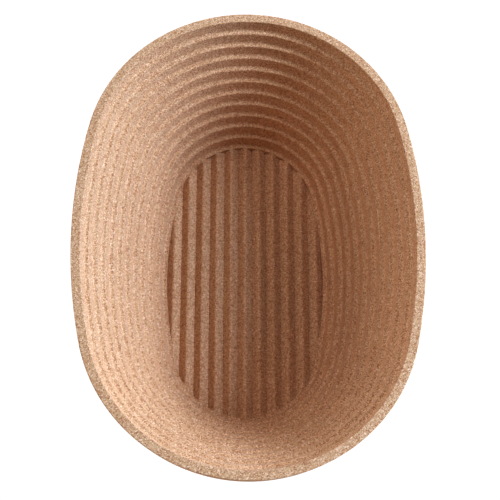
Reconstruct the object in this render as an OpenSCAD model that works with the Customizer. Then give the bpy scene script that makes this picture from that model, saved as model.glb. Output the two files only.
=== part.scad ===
// Oval proofing basket of pressed wood fibre.
// A grooved base board carries a stack of oval wall rings, each bonded on the ring below it and
// set outwards by one tread, and a rim ring closes the top. Millimetres, +Z up, length along Y,
// origin on the table under the middle of the basket.

/* [Plan] */
// Width across the outer edge of the rim
basket_w = 200; // [180:1:240]
// Length along the outer edge of the rim
basket_l = 281; // [250:1:340]
// How far each long side bows out past the radius of the round ends
side_bow = 5; // [1:0.5:15]

/* [Wall] */
// Width of the rim's flat top, and of the bonded face between one ring and the next
wall_w = 5.3; // [4:0.1:8]
// Number of wall rings between the base board and the rim ring
ring_count = 10; // [6:1:14]
// Height of each wall ring
ring_h = 7.4; // [5:0.1:10]
// Height of the rim ring
rim_h = 7.2; // [5:0.1:12]
// Width of the tread that each step leaves open on the inside
tread_w = 3.2; // [2:0.1:5]
// Lean of the ring faces from upright, in degrees, opening upwards
face_lean = 7.3; // [0:0.1:12]
// Small bevel worked on the edges of every piece
edge_bevel = 0.4; // [0.2:0.1:1]

/* [Base board] */
// Thickness of the base board
base_h = 8.8; // [6:0.1:14]
// Number of lengthwise ridges on the floor
ridge_count = 11; // [7:1:15]
// Depth of the grooves below the ridges
groove_depth = 3.2; // [1.5:0.1:4.5]
// Width of the flat along each ridge and in the bottom of each groove
ridge_flat = 0.8; // [0.4:0.1:2]

/* [Hidden] */
$fn = 180;
fibre_colour = "#CFA98A";

// The plan is an oval of four arcs: two round ends and two long flat sides. An edge parallel to it
// keeps the same four centres, so every edge is named by its offset from the rim's outer edge,
// negative inwards. Next to a joint the arcs lap by the angle joint_lap, and the side arc stands proud
// of the end arc by joint_step, so that no two faces coincide or meet at a grazing angle.
joint_step = 0.08;
joint_lap = 0.8;
half_w = basket_w / 2;
half_l = basket_l / 2;
end_r = half_w - side_bow;
end_centre = half_l - end_r;
drawn_bow = side_bow - joint_step;
side_centre = (end_centre ^ 2 - drawn_bow ^ 2) / (2 * drawn_bow);
side_r = side_centre + half_w;
joint_angle = atan2(end_centre, side_centre);

basket_h = base_h + ring_count * ring_h + rim_h;

// Slope of the ring faces, as plan distance for each unit of height
lean = tan(face_lean);
// Plan distance from the foot of one ring to the foot of the next
ring_step = tread_w + ring_h * lean;
// Offset of the rim ring's inside foot
rim_foot = -wall_w - rim_h * lean;
// Offset of the inside foot of each wall ring, counted from 1 at the base board
function ring_foot(k) = rim_foot - (ring_count + 1 - k) * ring_step;
// Level of the foot of each wall ring, and of the rim ring as the next one up
function ring_level(k) = base_h + (k - 1) * ring_h;

// Offset of the edge where the ledge ends and the grooved floor starts
floor_edge = ring_foot(1) - tread_w;
// Offset of the base board's outer edge at its underside
base_edge = ring_foot(1) + wall_w - base_h * lean;
floor_w = 2 * (half_w + floor_edge);
groove_pitch = floor_w / ridge_count;
groove_mouth = groove_pitch - ridge_flat;

function two_digits(k) = str(k < 10 ? "0" : "", k);
function ring_name(k) = str("ring_", two_digits(k));

// Carries a section round the oval. The section lies in offset and height. A solid board's section
// runs in to -$reach, which is the middle of the plan.
module round_the_oval() {
    for (turn = [0, 180]) rotate(turn) {
        translate([-side_centre, 0, 0]) rotate(-joint_angle - joint_lap)
            rotate_extrude(angle = 2 * (joint_angle + joint_lap))
                translate([side_r, 0]) let ($reach = half_w + side_bow) children();
        translate([0, end_centre, 0]) rotate(joint_angle - joint_lap)
            rotate_extrude(angle = 180 - 2 * (joint_angle - joint_lap))
                translate([end_r, 0]) let ($reach = end_r) children();
    }
}

// Section of a ring, given by the offset of its inside foot. The faces lean alike on both sides. All
// edges are bevelled but the foot, which stands on the tread below.
module ring_section(foot, width, height) {
    nose = foot + height * lean;
    polygon([
        [foot, 0],
        [foot + width - edge_bevel, 0],
        [foot + width + edge_bevel * lean, edge_bevel],
        [nose + width - edge_bevel * lean, height - edge_bevel],
        [nose + width - edge_bevel, height],
        [nose + edge_bevel, height],
        [nose - edge_bevel * lean, height - edge_bevel],
    ]);
}

module wall_ring(k) {
    color(fibre_colour)
        translate([0, 0, ring_level(k)])
            round_the_oval() ring_section(ring_foot(k), tread_w + wall_w, ring_h);
}

module rim_ring() {
    color(fibre_colour)
        translate([0, 0, ring_level(ring_count + 1)])
            round_the_oval() ring_section(rim_foot, wall_w, rim_h);
}

// One lengthwise groove of the floor, with its mouth on the plane z = 0.
module groove() {
    rotate([90, 0, 0]) linear_extrude(basket_l, center = true)
        polygon([
            [-ridge_flat / 2, -groove_depth],
            [ridge_flat / 2, -groove_depth],
            [groove_mouth / 2, 0],
            [groove_mouth / 2, groove_depth],
            [-groove_mouth / 2, groove_depth],
            [-groove_mouth / 2, 0],
        ]);
}

// The ridges are level with the ledge, the first and last groove run out at the sides of the floor,
// and all grooves stop square against the ledge at its ends.
module base_board() {
    color(fibre_colour) difference() {
        round_the_oval() polygon([
            [-$reach, 0],
            [base_edge - edge_bevel, 0],
            [base_edge + edge_bevel * lean, edge_bevel],
            [base_edge + (base_h - edge_bevel) * lean, base_h - edge_bevel],
            [base_edge + base_h * lean - edge_bevel, base_h],
            [-$reach, base_h],
        ]);
        intersection() {
            round_the_oval() translate([-$reach, 0]) square([$reach + floor_edge, 2 * base_h]);
            for (i = [0 : ridge_count])
                translate([(i - ridge_count / 2) * groove_pitch, 0, base_h]) groove();
        }
    }
}

base_board();
for (k = [1 : ring_count])
    wall_ring(k);
rim_ring();
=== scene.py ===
# Oval proofing basket of pressed wood fibre, put together from the bottom up: the grooved base board,
# ten wall rings bonded on it one above the other, and the rim ring that closes the top.

import bpy
import numpy as np
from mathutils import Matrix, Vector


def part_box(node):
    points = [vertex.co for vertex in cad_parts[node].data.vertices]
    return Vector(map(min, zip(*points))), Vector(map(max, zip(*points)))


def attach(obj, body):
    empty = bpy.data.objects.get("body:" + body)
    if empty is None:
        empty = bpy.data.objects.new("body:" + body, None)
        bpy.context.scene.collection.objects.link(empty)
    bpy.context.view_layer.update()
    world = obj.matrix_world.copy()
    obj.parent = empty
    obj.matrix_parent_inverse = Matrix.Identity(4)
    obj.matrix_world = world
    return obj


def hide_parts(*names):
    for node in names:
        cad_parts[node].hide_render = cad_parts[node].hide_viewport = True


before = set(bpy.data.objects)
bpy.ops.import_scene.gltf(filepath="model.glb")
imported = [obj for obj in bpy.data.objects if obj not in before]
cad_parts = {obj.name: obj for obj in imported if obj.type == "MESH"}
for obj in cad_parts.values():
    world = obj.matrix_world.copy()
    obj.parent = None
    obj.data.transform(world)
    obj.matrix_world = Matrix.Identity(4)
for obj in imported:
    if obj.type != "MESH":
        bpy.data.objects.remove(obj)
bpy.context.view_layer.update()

# Base board
# A flat oval board pressed from fine wood fibre. Straight grooves run lengthwise in its top, so that
# air reaches the dough, and stop square at a plain ledge on which the lowest ring is bonded.

mm = 0.001
lean = np.tan(np.radians(7.3))
edge_bevel = 0.4 * mm
wall_w = 5.3 * mm
tread_w = 3.2 * mm
side_bow = 5.0 * mm
groove_depth = 3.2 * mm
ridge_count = 11
ring_names = sorted(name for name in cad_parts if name.startswith("ring_"))
board_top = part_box("base_board")[1][2]
first_low, first_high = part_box(ring_names[0])
rim_low, rim_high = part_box("rim_ring")
ring_h = first_high[2] - first_low[2]
rim_h = rim_high[2] - rim_low[2]

# The plan of the rim's outer edge, whose box ends at the bevel, and the steps inwards from it.
half_w = rim_high[0] + edge_bevel * lean
half_l = rim_high[1] + edge_bevel * lean
end_r = half_w - side_bow
end_centre = half_l - end_r
side_centre = (end_centre**2 - side_bow**2) / (2 * side_bow)
side_r = side_centre + half_w
joint_turn = np.arctan2(end_centre, side_centre)
ring_step = tread_w + ring_h * lean
rim_foot = -wall_w - rim_h * lean


def ring_foot(k):
    """Offset of the inside foot of ring k, counted from 1 at the base board: the rim's foot, less one step
    for each ring from k up."""
    return rim_foot - (len(ring_names) + 1 - k) * ring_step


sharp_corner = np.radians(50)


def link_mesh(name, points, faces, material):
    """Makes a smooth mesh object at the origin from arrays of points and faces. Corners that turn by
    sharp_corner or more stay sharp."""
    mesh = bpy.data.meshes.new(name)
    mesh.from_pydata(points.reshape(-1, 3).tolist(), [], [list(face) for face in faces])
    mesh.validate()
    mesh.shade_smooth()
    mesh.set_sharp_from_angle(angle=sharp_corner)
    mesh.materials.append(material)
    piece = bpy.data.objects.new(name, mesh)
    bpy.context.scene.collection.objects.link(piece)
    return piece


def grid_faces(index):
    """Quads between the neighbours of a two-way grid of point numbers."""
    quads = np.stack([index[:-1, :-1], index[1:, :-1], index[1:, 1:], index[:-1, 1:]], axis=-1)
    return quads.reshape(-1, 4)


def fan(middle, edge):
    """Triangles between one point and each pair of neighbours in a row of points."""
    return np.stack([np.full(len(edge) - 1, middle), edge[:-1], edge[1:]], axis=-1)


def linear(colour):
    """Linear colour of an sRGB hex value: each channel c over 12.92 where it is small, and otherwise
    ((c + 0.055) / 1.055) to the power 2.4."""
    c = np.array([int(colour[i:i + 2], 16) for i in (1, 3, 5)]) / 255
    c = np.where(c <= 0.04045, c / 12.92, ((c + 0.055) / 1.055) ** 2.4)
    return (*c, 1.0)


def add_node(tree, kind, **inputs):
    """Adds a node, and fills or links its inputs by name."""
    node = tree.nodes.new(kind)
    for key, value in inputs.items():
        socket = node.inputs[key.replace("_", " ")]
        if isinstance(value, bpy.types.NodeSocket):
            tree.links.new(value, socket)
        else:
            socket.default_value = value
    return node


# Pressed wood fibre. Fine saw chips and flour are hot-pressed with a binder and left raw, so the surface
# is dead matte and evenly speckled with chips about half a millimetre across, from brown to pale tan.
# A little sheen stands for the loose fibre ends.
chip_size = 0.5 * mm
chip_relief = 0.15 * mm
chip_colours = (
    (0.0, "#AE7347"),
    (0.25, "#CD9872"),
    (0.5, "#D0A57C"),
    (0.75, "#D9AC83"),
    (1.0, "#EFC9A9"),
)
fibre = bpy.data.materials.new("pressed wood fibre")
fibre.use_nodes = True
tree = fibre.node_tree
surface = tree.nodes["Principled BSDF"]
place = add_node(tree, "ShaderNodeTexCoord").outputs["Object"]
chips = add_node(tree, "ShaderNodeTexVoronoi", Vector=place, Scale=1 / chip_size)
chip_value = add_node(tree, "ShaderNodeSeparateColor", Color=chips.outputs["Color"]).outputs["Red"]
tone = add_node(tree, "ShaderNodeValToRGB", Fac=chip_value)
tone.color_ramp.elements[0].color = linear(chip_colours[0][1])
tone.color_ramp.elements[1].color = linear(chip_colours[-1][1])
for chip_share, colour in chip_colours[1:-1]:
    tone.color_ramp.elements.new(chip_share).color = linear(colour)
bump = add_node(
    tree, "ShaderNodeBump", Height=chips.outputs["Distance"], Strength=0.3, Distance=chip_relief
)
tree.links.new(tone.outputs["Color"], surface.inputs["Base Color"])
tree.links.new(bump.outputs["Normal"], surface.inputs["Normal"])
surface.inputs["Roughness"].default_value = 0.85
surface.inputs["Specular IOR Level"].default_value = 0.5
surface.inputs["Sheen Weight"].default_value = 0.1
surface.inputs["Sheen Roughness"].default_value = 0.5

# The grooves end against the ledge in an almost upright wall, which runs in by wall_run from the edge of
# the ledge to the edge of the grooved field.
wall_run = 0.3 * mm
floor_edge = ring_foot(1) - tread_w
field_edge = floor_edge - wall_run
board_foot = ring_foot(1) + wall_w - board_top * lean
groove_pitch = 2 * (half_w + floor_edge) / ridge_count
crest_flat = 1.4 * mm
crest_round = 0.25 * mm


def groove_level(x):
    """Height of the grooved floor at x. The distance from the nearest crest line, less half the crest's
    flat, is eased at its start as (d + sqrt(d^2 + r^2)) / 2, and the flank falls with it from the ledge's
    level to a sharp valley."""
    away = np.abs((x / groove_pitch + 0.5) % 1 - 0.5) * groove_pitch - crest_flat / 2
    run = groove_pitch / 2 - crest_flat / 2
    fall = (away + np.sqrt(away**2 + crest_round**2)) / 2
    return board_top - groove_depth * fall / run


# The columns of the field run along the ridges. They stand closer at the tips of the oval, where its edge
# turns, and the tips themselves are single points.
columns_per_pitch = 24
rows_per_column = 61
tip_shares = np.array([0.75, 0.5, 0.25]) ** 2
tip = half_w + field_edge
column_step = groove_pitch / columns_per_pitch
least_gap = 0.3 * column_step
columns = np.arange(0, tip - least_gap, column_step)
columns = np.concatenate([columns, tip - (tip - columns[-1]) * tip_shares])
columns = np.concatenate([-columns[:0:-1], columns])
joint_x = (end_r + field_edge) * np.cos(joint_turn)
end_half = end_centre + np.sqrt(np.maximum((end_r + field_edge) ** 2 - columns**2, 0))
side_half = np.sqrt(np.maximum((side_r + field_edge) ** 2 - (np.abs(columns) + side_centre) ** 2, 0))
half_length = np.where(np.abs(columns) < joint_x, end_half, side_half)
rows = np.linspace(-1, 1, rows_per_column)
field_x = np.repeat(columns[:, None], rows_per_column, axis=1)
field = np.stack([field_x, half_length[:, None] * rows[None, :], groove_level(field_x)], axis=-1)

# The edge of the field, once round from the left tip: the front ends of the columns, the right tip and
# the back ends, each with the outward normal of the arc that it lies on.
front = np.stack([columns, -half_length], axis=-1)
back = np.stack([columns, half_length], axis=-1)[::-1]
edge_loop = np.concatenate([[[-tip, 0.0]], front, [[tip, 0.0]], back])
on_end = np.abs(edge_loop[:, 0]) < joint_x
centre_x = np.where(on_end, 0.0, -side_centre * np.sign(edge_loop[:, 0]))
centre_y = np.where(on_end, end_centre * np.sign(edge_loop[:, 1]), 0.0)
outward = edge_loop - np.stack([centre_x, centre_y], axis=-1)
outward = outward / np.linalg.norm(outward, axis=1, keepdims=True)

# Ledge, leaning side and underside as one section, in distance out from the edge of the field and height.
# The bevels are eased, with their middle bevel_middle in from the corner both ways.
bevel_middle = 0.3 * edge_bevel
ledge_out = board_foot + board_top * lean - field_edge
foot_out = board_foot - field_edge
side_section = np.array([
    [wall_run, board_top],
    [wall_run + tread_w / 2, board_top],
    [ledge_out - 2 * edge_bevel, board_top],
    [ledge_out - edge_bevel, board_top],
    [ledge_out - bevel_middle, board_top - bevel_middle],
    [ledge_out - edge_bevel * lean, board_top - edge_bevel],
    [ledge_out - 2 * edge_bevel * lean, board_top - 2 * edge_bevel],
    [foot_out + 2 * edge_bevel * lean, 2 * edge_bevel],
    [foot_out + edge_bevel * lean, edge_bevel],
    [foot_out - bevel_middle, bevel_middle],
    [foot_out - edge_bevel, 0.0],
    [foot_out - 2 * edge_bevel, 0.0],
])
side_xy = edge_loop[:, None, :] + outward[:, None, :] * side_section[None, :, :1]
side_z = np.broadcast_to(side_section[None, :, 1:], (*side_xy.shape[:2], 1))
side = np.concatenate([side_xy, side_z], axis=-1)
tip_level = groove_level(tip)
points = np.concatenate([
    field.reshape(-1, 3),
    side.reshape(-1, 3),
    [[-tip, 0, tip_level], [tip, 0, tip_level], [0, 0, 0]],
])
field_index = np.arange(field_x.size).reshape(field_x.shape)
side_index = field_x.size + np.arange(side.shape[0] * side.shape[1]).reshape(side.shape[:2])
left_tip, right_tip, under_middle = len(points) - 3 + np.arange(3)
edge_index = np.concatenate([[left_tip], field_index[:, 0], [right_tip], field_index[::-1, -1]])
round_index = np.concatenate([edge_index[:, None], side_index], axis=1)
round_index = np.concatenate([round_index, round_index[:1]], axis=0)
board_faces = [
    *grid_faces(field_index),
    *grid_faces(round_index)[:, ::-1],
    *fan(left_tip, field_index[0]),
    *fan(right_tip, field_index[-1, ::-1]),
    *fan(under_middle, round_index[::-1, -1]),
]
board = link_mesh("base_board_fibre", points, board_faces, fibre)
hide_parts("base_board")
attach(board, "root")

# Wall rings
# Ten oval rings of one section, cut from pressed fibre and bonded flat one on the other, each set outwards
# by one tread, so the wall climbs in steps inside and out. Inside, the nose of each step is rounded, its
# tread falls a little to the nose, and the riser runs out on the tread below in a cove.

points_per_side = 100
points_per_end = 210
points_per_bend = 8
run_shares = np.array([0.05, 0.5, 0.95])
turns = np.concatenate([
    np.linspace(-joint_turn, joint_turn, points_per_side, endpoint=False),
    np.linspace(joint_turn, np.pi - joint_turn, points_per_end, endpoint=False),
    np.linspace(np.pi - joint_turn, np.pi + joint_turn, points_per_side, endpoint=False),
    np.linspace(np.pi + joint_turn, 2 * np.pi - joint_turn, points_per_end, endpoint=False),
])
nose_eases = (0.9 * mm, 0.7 * mm)
cove_eases = (1.5 * mm, 1.5 * mm)
edge_eases = (0.55 * mm, 0.55 * mm)
foot_in = 0.6 * mm
tread_fall = 0.3 * mm
feather = 0.05 * mm
feather_eases = (feather, feather)
tip_eases = (0.3 * feather, 0.3 * feather)


def oval(edge, turn):
    """Plan point whose outward normal has the given turn, on the oval that lies the offset edge outside
    the rim's edge. The oval is two end arcs about (0, +-end_centre) and two side arcs about
    (-+side_centre, 0). A parallel oval keeps the four centres, so the point is the arc's centre plus
    (arc radius + edge) times the normal."""
    across = np.cos(turn)
    along = np.sin(turn)
    on_side = np.abs(along) < np.sin(joint_turn)
    radius = np.where(on_side, side_r, end_r) + edge
    x = np.where(on_side, -side_centre * np.sign(across), 0.0) + radius * across
    y = np.where(on_side, 0.0, end_centre * np.sign(along)) + radius * along
    return x, y


def eased_section(corners, eases):
    """Closed section with every corner P eased: from a point A at the first ease's distance before the
    corner to a point B at the second one's past it, along the curve (1-t)^2 A + 2t(1-t) P + t^2 B, with
    points at run_shares of each straight run between."""
    before = np.roll(corners, 1, axis=0) - corners
    after = np.roll(corners, -1, axis=0) - corners
    start = corners + before * (eases[:, 0] / np.linalg.norm(before, axis=1))[:, None]
    end = corners + after * (eases[:, 1] / np.linalg.norm(after, axis=1))[:, None]
    t = np.linspace(0, 1, points_per_bend)[None, :, None]
    bend = (1 - t) ** 2 * start[:, None] + 2 * t * (1 - t) * corners[:, None] + t**2 * end[:, None]
    s = run_shares[None, :, None]
    run = end[:, None] * (1 - s) + np.roll(start, -1, axis=0)[:, None] * s
    return np.concatenate([bend, run], axis=1).reshape(-1, 2)


def ring_points(foot, width, bottom, height, fall, fall_below, inner_eases):
    """Surface of a ring: its eased section of offset and height, carried round the oval. The open part of
    its top falls towards the nose. The inside foot stands foot_in further in than the bonded face and runs
    out on the tread below in a cove, which ends in a feather edge."""
    nose = foot + height * lean
    top = bottom + height
    reach = foot_in + cove_eases[1] + 2 * feather
    slope_below = fall_below / tread_w
    corners = np.array([
        [foot - reach, bottom - slope_below * reach],
        [foot, bottom],
        [foot + width, bottom],
        [nose + width, top],
        [nose + tread_w, top],
        [nose, top - fall],
        [foot - foot_in, bottom + feather - slope_below * foot_in],
    ])
    eases = np.array([
        tip_eases,
        feather_eases,
        edge_eases,
        edge_eases,
        feather_eases,
        inner_eases,
        cove_eases,
    ])
    section = eased_section(corners, eases)
    x, y = oval(section[None, :, 0], turns[:, None])
    z = np.broadcast_to(section[None, :, 1], x.shape)
    return np.stack([x, y, z], axis=-1)


def closed_ring(name, points):
    """Makes the ring's mesh from a grid of points that closes on itself both ways."""
    index = np.arange(points.shape[0] * points.shape[1]).reshape(points.shape[:2])
    index = np.concatenate([index, index[:1]], axis=0)
    index = np.concatenate([index, index[:, :1]], axis=1)
    return link_mesh(name, points, grid_faces(index), fibre)


for k, name in enumerate(ring_names, start=1):
    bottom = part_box(name)[0][2]
    fall_below = 0.0 if k == 1 else tread_fall
    ring_width = tread_w + wall_w
    ring_surface = ring_points(ring_foot(k), ring_width, bottom, ring_h, tread_fall, fall_below, nose_eases)
    ring = closed_ring(name + "_fibre", ring_surface)
    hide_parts(name)
    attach(ring, "root")

# Rim ring
# The closing ring of the same pressed fibre, bonded on the top ring. It is narrower than the rings below
# and flush with them outside, and its flat top is the rim.

rim_surface = ring_points(rim_foot, wall_w, rim_low[2], rim_h, 0.0, tread_fall, edge_eases)
rim = closed_ring("rim_ring_fibre", rim_surface)
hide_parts("rim_ring")
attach(rim, "root")

# Table, light and camera
# A white table that glows and takes no light from the lamps, so that no shadow shows on it, before a white
# backdrop that lights nothing. Soft boxes on the right give the main light, and weaker ones fill from the
# back, the left and the front. The camera is the one fitted to the photograph.

table_half = 3.0
table_gap = 0.05 * mm
full_white = 1.05
white = bpy.data.materials.new("white table top")
white.use_nodes = True
table_surface = white.node_tree.nodes["Principled BSDF"]
table_surface.inputs["Base Color"].default_value = (0, 0, 0, 1)
table_surface.inputs["Specular IOR Level"].default_value = 0.0
table_surface.inputs["Emission Color"].default_value = (1, 1, 1, 1)
table_surface.inputs["Emission Strength"].default_value = full_white
table_points = np.array([[-1, -1, 0], [1, -1, 0], [1, 1, 0], [-1, 1, 0]]) * table_half - [0, 0, table_gap]
table = link_mesh("table_top", table_points, np.array([[0, 1, 2, 3]]), white)

world = bpy.data.worlds.new("studio")
world.use_nodes = True
world.node_tree.nodes["Background"].inputs["Color"].default_value = (1, 1, 1, 1)
world.node_tree.nodes["Background"].inputs["Strength"].default_value = full_white
world.cycles_visibility.diffuse = False
world.cycles_visibility.glossy = False
bpy.context.scene.world = world

daylight = linear("#B9DAFF")[:3]
room_light = linear("#DFEEFF")[:3]
warm_light = linear("#FFEEDA")[:3]
lamp_distance = 2.4
wide_box = 0.9
small_box = 0.6


def soft_light(name, colour, azimuth, elevation, size, power):
    """A square soft box that faces the basket from a compass angle, where 0 is +X and 90 is +Y, and a
    height angle, in degrees."""
    lamp = bpy.data.lights.new(name, "AREA")
    lamp.size = size
    lamp.energy = power
    lamp.color = colour
    box = bpy.data.objects.new(name, lamp)
    a = np.radians(azimuth)
    e = np.radians(elevation)
    box.location = lamp_distance * np.array([np.cos(a) * np.cos(e), np.sin(a) * np.cos(e), np.sin(e)])
    box.rotation_euler = (np.pi / 2 - e, 0, a + np.pi / 2)
    bpy.context.scene.collection.objects.link(box)


soft_light("main soft box", daylight, 0, 35, wide_box, 94.0)
soft_light("low soft box", daylight, 0, 15, wide_box, 33.0)
soft_light("back right soft box", daylight, 35, 25, wide_box, 11.0)
soft_light("low back light", room_light, 90, 12, wide_box, 28.0)
soft_light("high back light", room_light, 68, 71, small_box, 22.5)
soft_light("left fill", room_light, 180, 12, wide_box, 24.0)
soft_light("high left fill", room_light, 180, 40, wide_box, 16.5)
soft_light("front fill", warm_light, 250, 22, wide_box, 7.2)

# The camera looks at aim from the front, turned and raised by these angles and rolled about its own axis.
camera_turn = np.radians(-5.033)
camera_height = np.radians(69.517)
camera_roll = np.radians(5.354)
camera_distance = 703.157 * mm
aim = np.array([1.979, 4.812, 45.0]) * mm
away = np.array([
    np.sin(camera_turn) * np.cos(camera_height),
    -np.cos(camera_turn) * np.cos(camera_height),
    np.sin(camera_height),
])
right = np.array([np.cos(camera_turn), np.sin(camera_turn), 0.0])
up = np.cross(away, right)
pose = np.eye(4)
pose[:3, 0] = right * np.cos(camera_roll) + up * np.sin(camera_roll)
pose[:3, 1] = -right * np.sin(camera_roll) + up * np.cos(camera_roll)
pose[:3, 2] = away
pose[:3, 3] = aim + away * camera_distance
lens = bpy.data.cameras.new("photo camera")
lens.sensor_width = 36.0
lens.lens = 84.16
camera = bpy.data.objects.new("photo camera", lens)
camera.matrix_world = pose.T.tolist()
bpy.context.scene.collection.objects.link(camera)
bpy.context.scene.camera = camera

# The photograph has more contrast than the plain view, so the view raises the light to this power.
photo_contrast = 1.6
bpy.context.scene.view_settings.view_transform = "Standard"
bpy.context.scene.view_settings.gamma = 1 / photo_contrast
